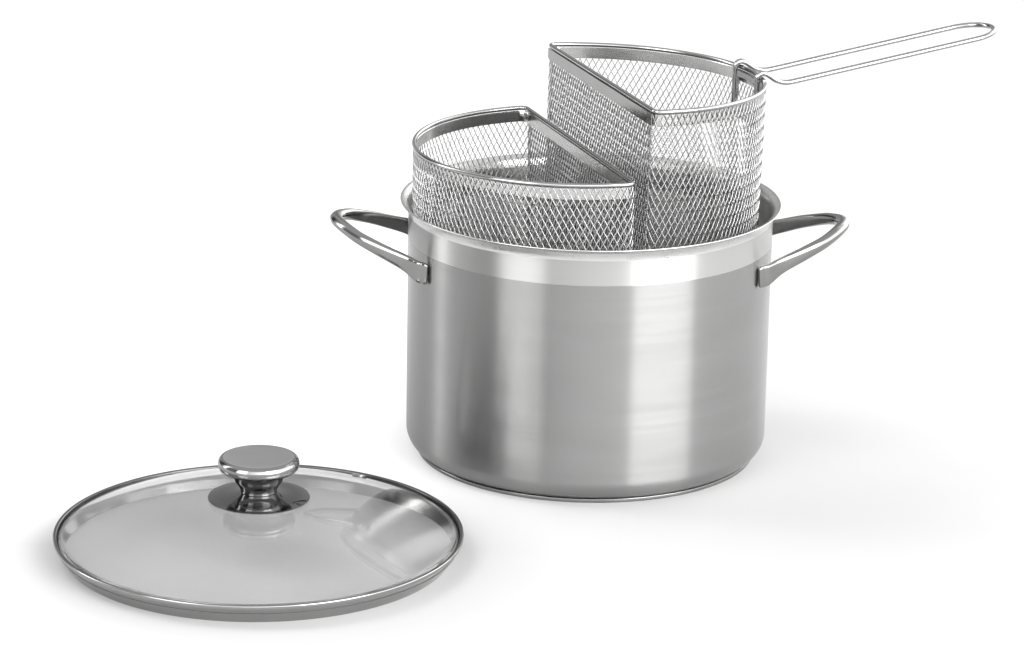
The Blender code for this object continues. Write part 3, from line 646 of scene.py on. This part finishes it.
def basket(side, off, az, rim):
    at = Place(off, az, rim)
    body = "basket_" + side
    pre = body + "_"
    bottom = rim - B_H

    # rim wire
    line = Outline(BEAD_R)
    n = 420
    tube(pre + "rim_wire", [at(*line.at(line.length * k / n)[:2], rim - BEAD_R) for k in range(n)], BEAD_R, 16,
         "bead", body, [pre + "rim_bead"])

    # band inside the mesh, with its lower edge turned, and the strip outside the flat wall
    top_z = rim - 2 * BEAD_R - 0.1
    low_z = top_z - BAND_H - 0.2
    o, i = Outline(1.75), Outline(2.35)
    verts, faces = [], []
    n = 360
    prof = [(0, low_z + 0.3), (0, top_z - 0.3), (0.3, top_z), (0.7, top_z), (1, top_z - 0.3), (1, low_z + 0.3),
            (0.7, low_z), (0.3, low_z)]
    for k in range(n):
        a, b = o.at(o.length * k / n), i.at(i.length * k / n)
        for f, z in prof:
            verts.append(at(a[0] + (b[0] - a[0]) * f, a[1] + (b[1] - a[1]) * f, z))
    m = len(prof)
    for k in range(n):
        u, v = k * m, ((k + 1) % n) * m
        for j in range(m):
            faces.append((u + j, u + (j + 1) % m, v + (j + 1) % m, v + j))
    ob = piece(pre + "inner_band", verts, faces, ["band_in"], body, [pre + "rim_band"], angle=30.0)
    face_out(ob)

    w0 = -B_E - 0.15
    verts, faces = [], []
    n = 60
    for k in range(n + 1):
        s = -SC - 1.5 + (2 * SC + 3.0) * k / n
        bow = 0.25 * math.sin(7.0 * math.pi * k / n) * math.sin(math.pi * k / n)
        drop = 1.2 * (1 - min(1.0, k / 1.0)) + 1.2 * (1 - min(1.0, (n - k) / 1.0))
        for w, z in ((w0, low_z + 0.2 + drop), (w0, top_z - 0.2), (w0 + 0.2, top_z), (w0 + 0.6, top_z),
                     (w0 + 0.6, low_z + drop), (w0 + 0.2, low_z + drop)):
            verts.append(at(s, w + bow * 0.3, z))
    m = 6
    for k in range(n):
        u, v = k * m, (k + 1) * m
        for j in range(m):
            faces.append((u + j, u + (j + 1) % m, v + (j + 1) % m, v + j))
    faces.append(tuple(range(m)))
    faces.append(tuple(range((n + 1) * m - 1, n * m - 1, -1)))
    ob = piece(pre + "outer_strip", verts, faces, ["band"], body, [pre + "flat_strip"], angle=30.0)
    face_out(ob)

    # bottom wire
    line = Outline(0.9 + RING_R)
    n = 300
    tube(pre + "foot_wire", [at(*line.at(line.length * k / n)[:2], bottom + RING_R) for k in range(n)], RING_R, 12,
         "ring", body, [pre + "bottom_ring"])

    # wire mesh of the curved wall: it laps a little way onto the flat wall
    line = Outline(1.05)
    z0, z1 = bottom + 0.6, top_z - 0.4
    lap = 5.0
    wide = line.curved + 2 * lap
    verts, faces = [], []
    for path in strands(wide, z1 - z0, 0.0):
        rows = []
        for s, z, over in path:
            a, w, na, nw = line.at(s - lap)
            x, y, _ = at(a + na * 0.18 * over, w + nw * 0.18 * over, 0.0)
            up = Vector((na * at.t[0] + nw * at.n[0], na * at.t[1] + nw * at.n[1], 0.0))
            rows.append((Vector((x, y, z0 + z)), up))
        ribbon_tube(rows, MESH_R, 6, verts, faces)
    # a straight selvedge wire down each lapped edge
    for s in (-lap, line.curved + lap):
        a, w, na, nw = line.at(s)
        up = Vector((na * at.t[0] + nw * at.n[0], na * at.t[1] + nw * at.n[1], 0.0))
        rows = [(Vector(at(a, w, z0 + (z1 - z0) * k / 24)), up) for k in range(25)]
        ribbon_tube(rows, MESH_R * 1.2, 6, verts, faces)
    # the right basket's curved wall takes the darker painted-shade copy of the mesh steel
    piece(pre + "curved_mesh", verts, faces, ["mesh_shaded_right" if body == "basket_right" else "mesh"], body, [pre + "wall_mesh"], angle=75.0)

    # flat wall
    verts, faces = [], []
    up = Vector((-at.n[0], -at.n[1], 0.0))
    for path in strands(2 * SC, z1 - z0, 1.3):
        rows = [(Vector(at(-SC + s, -B_E + 1.05 - 0.10 * over, z0 + z)), up) for s, z, over in path]
        ribbon_tube(rows, MESH_R, 6, verts, faces)
    # the flat wall takes the much darker painted-shade copy of the mesh steel
    piece(pre + "straight_mesh", verts, faces, ["mesh_shaded_flat"], body, [pre + "flat_mesh"], angle=75.0)

    # floor, cut to the outline
    verts, faces = [], []
    line = Outline(1.6)
    up = Vector((0.0, 0.0, 1.0))

    def inside(s, w):
        if w < line.e:
            return False
        if abs(s) > SC:
            return math.hypot(abs(s) - SC, w - WC) < line.rc or (math.hypot(s, w) < line.ri and w > WC)
        return math.hypot(s, w) < line.ri

    floor_z = bottom + 1.3
    for path in strands(2 * (SC + B_RC), B_R + B_E, 0.7):
        run = []
        for s, z, over in path:
            p = (s - SC - B_RC, z - B_E)
            if inside(*p):
                run.append((Vector(at(p[0], p[1], floor_z + 0.26 * over)), up))
            else:
                if len(run) > 1:
                    ribbon_tube(run, MESH_R, 6, verts, faces)
                run = []
        if len(run) > 1:
            ribbon_tube(run, MESH_R, 6, verts, faces)
    piece(pre + "bottom_mesh", verts, faces, ["mesh"], body, [pre + "floor_mesh"], angle=75.0)
    return at


basket("left", LEFT[0], 180.0 + LEFT[1], LEFT[2])
right = basket("right", *RIGHT)


# ---------------------------------------------------------------- basket handle
def handle_wire():
    rim = right.rim
    leg = math.sqrt(LEG_R ** 2 - ARM ** 2)
    bead = math.sqrt((B_R - BEAD_R) ** 2 - ARM ** 2)
    low = rim - LEG_DOWN

    def z_arm(w):
        return rim - 7.9 + 0.193 * (w - 104.5)

    arm = [(ARM, leg, low + 5.0), (ARM, leg, rim - 24.0), (ARM, leg, rim - 14.0), (ARM, leg, rim - 3.0)]
    for a in (160.0, 140.0, 120.0, 100.0, 82.0):
        q = math.radians(a)
        arm.append((ARM, bead + 3.8 * math.cos(q), rim - BEAD_R + 3.8 * math.sin(q)))
    arm += [(ARM, bead + 4.3, rim + 0.9), (ARM, bead + 8.5, rim - 1.9), (ARM, bead + 12.5, rim - 3.6),
            (ARM, bead + 16.5, rim - 4.3), (ARM, bead + 21.0, z_arm(bead + 21.0)), (ARM, 160.0, z_arm(160.0)),
            (ARM, 210.0, z_arm(210.0)), (ARM, TIP - ARM, z_arm(TIP - ARM))]
    bottom = []
    for s in (-14.5, -8.0, 0.0, 8.0, 14.5):
        bottom.append((s, math.sqrt(LEG_R ** 2 - s ** 2), low))
    bottom.append((ARM - 1.4, math.sqrt(LEG_R ** 2 - 18.1 ** 2), low + 1.5))
    loop = []
    for k in range(1, 16):
        q = math.radians(180.0 * k / 16)
        w = TIP - ARM + ARM * math.sin(q)
        loop.append((ARM * math.cos(q), w, z_arm(w)))
    rows = bottom + arm + loop + [(-s, w, z) for s, w, z in reversed(arm)]
    rows.append((-ARM + 1.4, math.sqrt(LEG_R ** 2 - 18.1 ** 2), low + 1.5))
    n = len(rows)
    path = []
    for i in range(n):
        a, b, c, d = (Vector(rows[(i + j) % n]) for j in (-1, 0, 1, 2))
        steps = max(3, int((c - b).length / 1.6))
        for k in range(min(steps, 24)):
            t = k / min(steps, 24)
            # centripetal-like: limit the pull of far neighbours
            ln = (c - b).length
            m0 = (c - a) * (ln / max((c - a).length, 1e-6)) if (b - a).length > 2.5 * ln or ln > 2.5 * (b - a).length else (c - a) * 0.5
            m1 = (d - b) * (ln / max((d - b).length, 1e-6)) if (d - c).length > 2.5 * ln or ln > 2.5 * (d - c).length else (d - b) * 0.5
            h = (2 * t ** 3 - 3 * t ** 2 + 1) * b + (t ** 3 - 2 * t ** 2 + t) * m0 \
                + (-2 * t ** 3 + 3 * t ** 2) * c + (t ** 3 - t ** 2) * m1
            path.append(right(h[0], h[1], h[2]))
    tube("carry_wire", path, WIRE_R, 20, "wire", "basket_handle", ["basket_handle_wire"])


handle_wire()


def crosspiece():
    """A bent strip between the two hooks, with a short leg down beside each of them."""
    rim = right.rim
    reach = ARM - WIRE_R - 0.3
    verts, faces = [], []

    def bar(rows):
        """A small rounded strip through rows of (s, z, half width in s, half width in z)."""
        base = len(verts)
        m = 8
        for s, z, ws, wz in rows:
            for k in range(m):
                q = 2 * math.pi * (k + 0.5) / m
                c, d = math.cos(q), math.sin(q)
                c, d = math.copysign(abs(c) ** 0.45, c), math.copysign(abs(d) ** 0.45, d)
                r = LEG_R + 0.8 * d
                verts.append(right(s + ws * c, math.sqrt(r ** 2 - (s + ws * c) ** 2), z + wz * c))
        n = len(rows)
        for i in range(n - 1):
            u, v = base + i * m, base + (i + 1) * m
            for k in range(m):
                j = (k + 1) % m
                faces.append((u + k, u + j, v + j, v + k))
        faces.append(tuple(range(base + m - 1, base - 1, -1)))
        faces.append(tuple(range(base + (n - 1) * m, base + n * m)))

    # one bent strip: up one leg, across the top and down the other
    mid, half = reach - 1.3, 1.3
    rows = [(-mid, rim - 22.0 + 0.8 * k, half, 0.0) for k in range(20)]
    for k in range(1, 9):
        q = math.radians(90.0 * k / 9)
        rows.append((-mid + 1.2 * (1 - math.cos(q)), rim - 6.0 + 1.5 * math.sin(q),
                     half * math.cos(q), -2.5 * math.sin(q)))
    for k in range(25):
        rows.append((-mid + 1.2 + 2 * (mid - 1.2) * k / 24, rim - 4.5, 0.0, -2.5))
    for k in range(8, 0, -1):
        q = math.radians(90.0 * k / 9)
        rows.append((mid - 1.2 * (1 - math.cos(q)), rim - 6.0 + 1.5 * math.sin(q),
                     -half * math.cos(q), -2.5 * math.sin(q)))
    rows += [(mid, rim - 22.0 + 0.8 * k, -half, 0.0) for k in range(19, -1, -1)]
    bar(rows)
    ob = piece("hook_strip", verts, faces, ["wire"], "basket_handle", ["basket_handle_crosspiece"],
               angle=50.0)
    face_out(ob)


crosspiece()

# -------------------------------------------------- CAD nodes that stay as they are
KEEP = {
    "base_core": "core", "knob_gasket_upper": "silicone", "knob_gasket_lower": "silicone",
    "knob_washer": "screw", "knob_screw": "screw",
}
for node, mat in KEEP.items():
    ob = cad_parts[node]
    for k in range(max(1, len(ob.data.materials))):
        if len(ob.data.materials) <= k:
            ob.data.materials.append(MAT[mat])
        else:
            ob.data.materials[k] = MAT[mat]

# ------------------------------------------------------------------------ stage
def stage_floor():
    me = bpy.data.meshes.new("studio_floor")
    s = 14.0
    me.from_pydata([(-s, -s, 0.0), (s, -s, 0.0), (s, s, 0.0), (-s, s, 0.0)], [], [(0, 1, 2, 3)])
    ob = bpy.data.objects.new("studio_floor", me)
    SCN.collection.objects.link(ob)
    t = Tree("studio_floor_white")
    t.p.inputs["Roughness"].default_value = 0.65
    t.p.inputs["Specular IOR Level"].default_value = 0.15
    # painted light: a little glow all over the table, and more of it to the left of the pot for camera rays only,
    # which lifts the shade there
    sep = t.add("ShaderNodeSeparateXYZ")
    t.link(t.coord, sep.inputs[0])
    # painted shade: the table is a little darker round the lid and in front of the pot
    def painted_shade_patch(x, y, near, far, depth):
        dx = t.math("ADD", sep.outputs["X"], -x)
        dy = t.math("ADD", sep.outputs["Y"], -y)
        return t.between(t.math("ADD", t.math("MULTIPLY", dx, dx), t.math("MULTIPLY", dy, dy)), depth, 0.0,
                         near * near, far * far)

    # painted shade: these patches lower the table's colour round the lid and in front of the pot
    dim = t.math("MAXIMUM", painted_shade_patch(-0.18, -0.22, 0.115, 0.19, 1.0), painted_shade_patch(0.10, -0.19, 0.02, 0.19, 0.7))
    t.link(t.tint(dim, (0.436, 0.436, 0.436), (0.376, 0.376, 0.376)), t.p.inputs["Base Color"])
    # painted light: masks that place the camera-only glow to the left of the pot
    left = t.between(sep.outputs["X"], 1.0, 0.0, -0.13, -0.02)
    back = t.between(sep.outputs["Y"], 0.0, 1.0, -0.20, -0.08)
    path = t.add("ShaderNodeLightPath")
    painted_glow = t.math("MULTIPLY", t.math("MULTIPLY", left, back), path.outputs["Is Camera Ray"])
    t.p.inputs["Emission Color"].default_value = (1.0, 1.0, 1.0, 1.0)
    t.link(t.math("ADD", t.math("MULTIPLY", painted_glow, 0.32), 0.04), t.p.inputs["Emission Strength"])
    me.materials.append(t.mat)
    return ob


stage_floor()


def area(name, size, place, target, power, size_y=None):
    d = bpy.data.lights.new(name, "AREA")
    d.energy = power
    d.size = size
    if size_y:
        d.shape = "RECTANGLE"
        d.size_y = size_y
    ob = bpy.data.objects.new(name, d)
    ob.location = place
    ob.rotation_mode = "QUATERNION"
    ob.rotation_quaternion = (Vector(target) - Vector(place)).to_track_quat("-Z", "Y")
    ob.visible_glossy = False
    ob.visible_transmission = False
    SCN.collection.objects.link(ob)
    return ob


area("key", 1.1, (-1.35, 0.55, 1.7), (0.0, 0.0, 0.05), 24.0, 1.1)

# studio round the object: level of light by direction, 0 towards the camera and + to its right
BANDS = (
    (-180, 0.4), (-164, 0.6), (-154, 0.7), (-138, 0.1), (-126, 0.1), (-118, 0.6), (-112, 2.4),
    (-109.5, 8.4), (-103.5, 8.4), (-101, 2.4), (-94, 0.5), (-61.5, 0.35), (-59.5, 5.0), (-50, 6.7), (-42, 7.0),
    (-31, 6.1), (-29, 2.4), (-18, 2.7), (-2, 3.5), (14, 4.2), (25, 5.0), (27, 13.4), (60, 13.8), (65, 12.8),
    (66.5, 4.6), (80, 4.0), (118, 3.8), (134, 3.8), (150, 4.2), (165, 1.0), (180, 0.4),
)


def studio():
    w = bpy.data.worlds.new("studio")
    SCN.world = w
    w.use_nodes = True
    t = w.node_tree
    bg = t.nodes["Background"]
    out = t.nodes["World Output"]

    def add(kind, **kw):
        n = t.nodes.new(kind)
        for k, v in kw.items():
            setattr(n, k, v)
        return n

    tc = add("ShaderNodeTexCoord")
    sep = add("ShaderNodeSeparateXYZ")
    t.links.new(tc.outputs["Generated"], sep.inputs[0])
    neg = add("ShaderNodeMath", operation="MULTIPLY")
    t.links.new(sep.outputs["Y"], neg.inputs[0])
    neg.inputs[1].default_value = -1.0
    at = add("ShaderNodeMath", operation="ARCTAN2")
    t.links.new(sep.outputs["X"], at.inputs[0])
    t.links.new(neg.outputs[0], at.inputs[1])
    mr = add("ShaderNodeMapRange")
    mr.inputs["From Min"].default_value = -math.pi
    mr.inputs["From Max"].default_value = math.pi
    t.links.new(at.outputs[0], mr.inputs["Value"])
    ramp = add("ShaderNodeValToRGB")
    t.links.new(mr.outputs["Result"], ramp.inputs["Fac"])
    cr = ramp.color_ramp
    peak = 14.0
    for k, (az, level) in enumerate(BANDS):
        pos = (az + 180.0) / 360.0
        v = level / peak
        if k == 0:
            e = cr.elements[0]
            e.position = pos
        elif k == len(BANDS) - 1:
            e = cr.elements[-1]
            e.position = pos
        else:
            e = cr.elements.new(pos)
        e.color = (v, v, v, 1.0)
    # bands fade out above 55 degrees to a plain ceiling
    fade = add("ShaderNodeMapRange")
    fade.inputs["From Min"].default_value = 0.50
    fade.inputs["From Max"].default_value = 0.75
    t.links.new(sep.outputs["Z"], fade.inputs["Value"])
    scale = add("ShaderNodeVectorMath", operation="SCALE")
    t.links.new(ramp.outputs["Color"], scale.inputs[0])
    scale.inputs["Scale"].default_value = peak
    mix = add("ShaderNodeMix", data_type="RGBA")
    t.links.new(fade.outputs["Result"], mix.inputs[0])
    t.links.new(scale.outputs["Vector"], mix.inputs[6])
    mix.inputs[7].default_value = (1.0, 1.0, 1.0, 1.0)
    t.links.new(mix.outputs[2], bg.inputs["Color"])
    bg.inputs["Strength"].default_value = 1.0
    white = add("ShaderNodeBackground")
    white.inputs["Color"].default_value = (1.0, 1.0, 1.0, 1.0)
    white.inputs["Strength"].default_value = 1.0
    path = add("ShaderNodeLightPath")
    ms = add("ShaderNodeMixShader")
    t.links.new(path.outputs["Is Camera Ray"], ms.inputs[0])
    t.links.new(bg.outputs["Background"], ms.inputs[1])
    t.links.new(white.outputs["Background"], ms.inputs[2])
    t.links.new(ms.outputs["Shader"], out.inputs["Surface"])


studio()
SCN.view_settings.view_transform = "Standard"
SCN.view_settings.look = "None"

# ----------------------------------------------------------------------- camera
def camera():
    pitch, yaw, roll = 0.300307, -0.0137923, 0.0178913
    f = Vector((-math.sin(yaw) * math.cos(pitch), math.cos(yaw) * math.cos(pitch), -math.sin(pitch)))
    r = Vector((math.cos(yaw), math.sin(yaw), 0.0))
    u = r.cross(f)
    c, s = math.cos(roll), math.sin(roll)
    x, y = r * c + u * s, u * c - r * s
    d = bpy.data.cameras.new("camera")
    d.sensor_fit = "HORIZONTAL"
    d.sensor_width = 36.0
    d.lens = 3590.71 * 36.0 / 1024.0
    d.clip_start, d.clip_end = 0.05, 60.0
    ob = bpy.data.objects.new("camera", d)
    m = Matrix((x, y, -f)).transposed().to_4x4()
    m.translation = Vector((-0.081689, -2.282504, 0.784579))
    ob.matrix_world = m
    SCN.collection.objects.link(ob)
    SCN.camera = ob


camera()

bpy.context.view_layer.update()
